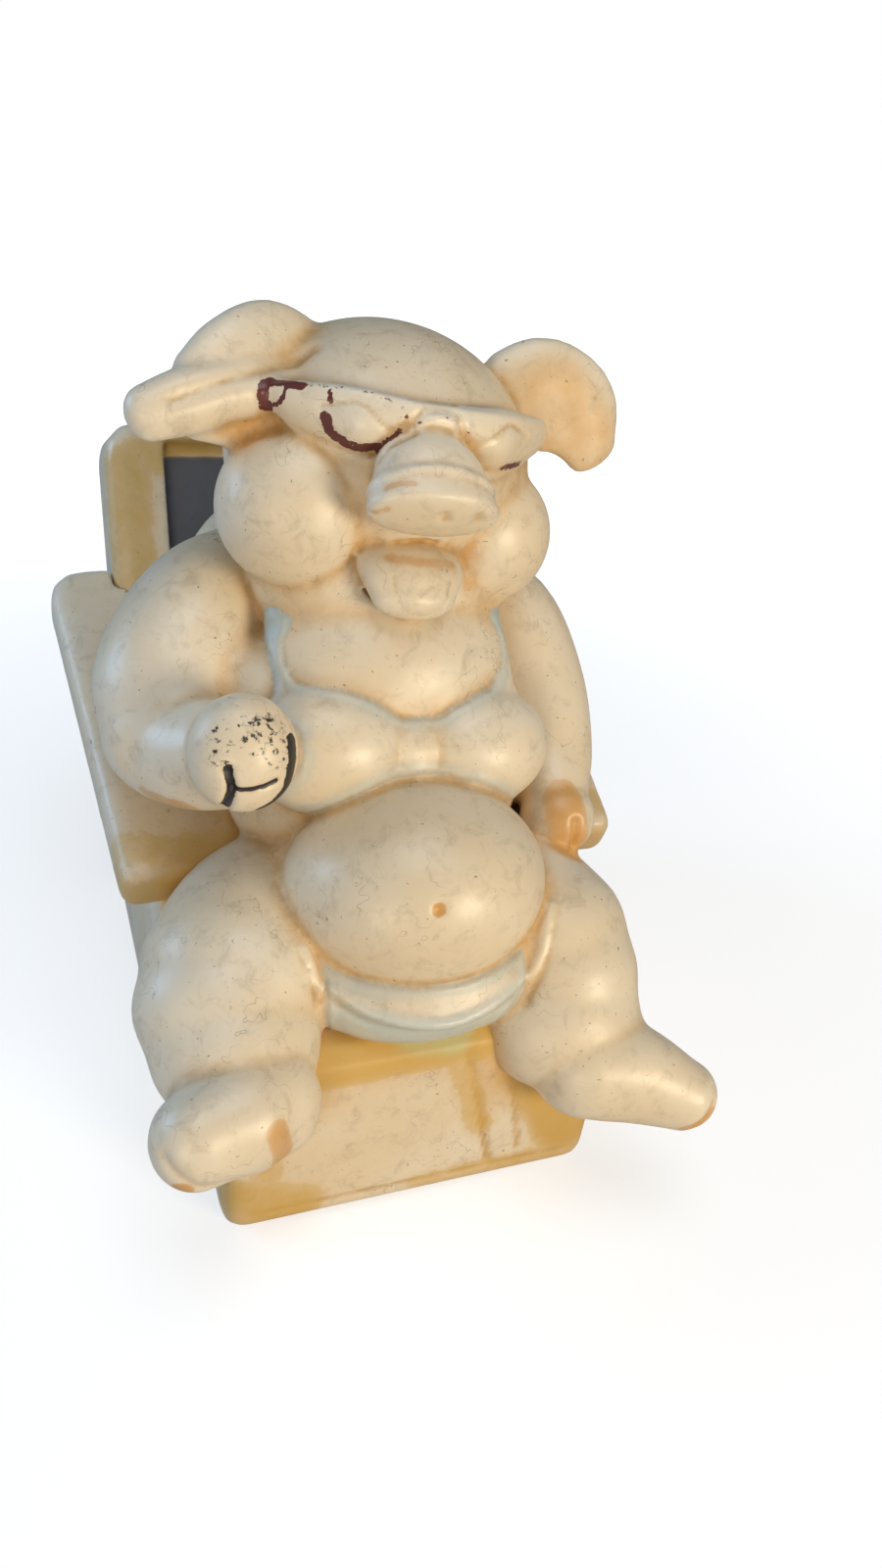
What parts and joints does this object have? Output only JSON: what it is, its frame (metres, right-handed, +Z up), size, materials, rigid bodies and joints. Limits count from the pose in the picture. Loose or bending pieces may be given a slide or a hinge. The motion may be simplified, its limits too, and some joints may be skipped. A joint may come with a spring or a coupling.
{
  "type": "money bank",
  "caption": "Glazed ceramic money bank shaped like a laughing pig in a bathing suit lounging in an armchair, with a coin slot behind and a soft stopper underneath.",
  "frame": {"origin": "middle of the flat underside", "axes": "+X to the right of a person facing the pig, +Y to the back of the armchair, +Z up"},
  "size_m": [0.1326, 0.1918, 0.183],
  "materials": {
    "glazed_cream": "satin glaze, worn",
    "glazed_yellow_wash": "satin glaze with a worn yellow wash",
    "glazed_pale_wash": "satin glaze, worn",
    "painted_suit": "satin, remains of light blue paint",
    "painted_hoof": "satin, remains of black paint",
    "painted_frame": "satin, remains of dark red-brown paint",
    "tinted_tongue": "satin",
    "soft_stopper": "matt"
  },
  "bodies": {
    "casting": {"chair_seat": "glazed_yellow_wash", "chair_back": "glazed_yellow_wash", "left_armrest": "glazed_pale_wash", "right_armrest": "glazed_pale_wash", "body": "glazed_cream", "head": "glazed_cream", "eyeglasses": "painted_frame", "snout": "glazed_cream", "tongue": "tinted_tongue", "left_ear": "glazed_cream", "right_ear": "glazed_cream", "left_hoof": "painted_hoof", "right_hoof": "painted_hoof", "left_leg": "glazed_cream", "right_leg": "glazed_cream", "left_foot": "glazed_cream", "right_foot": "glazed_cream", "left_arm": "glazed_cream", "right_arm": "glazed_cream", "bikini_bottom": "painted_suit", "bikini_top": "painted_suit"},
    "stopper": {"stopper": "soft_stopper"}
  },
  "joints": [
    {"name": "stopper_pull", "type": "slide", "parent": "casting", "child": "stopper", "axis": [0, 0, -1], "range_m": [0, 0.03]}
  ]
}
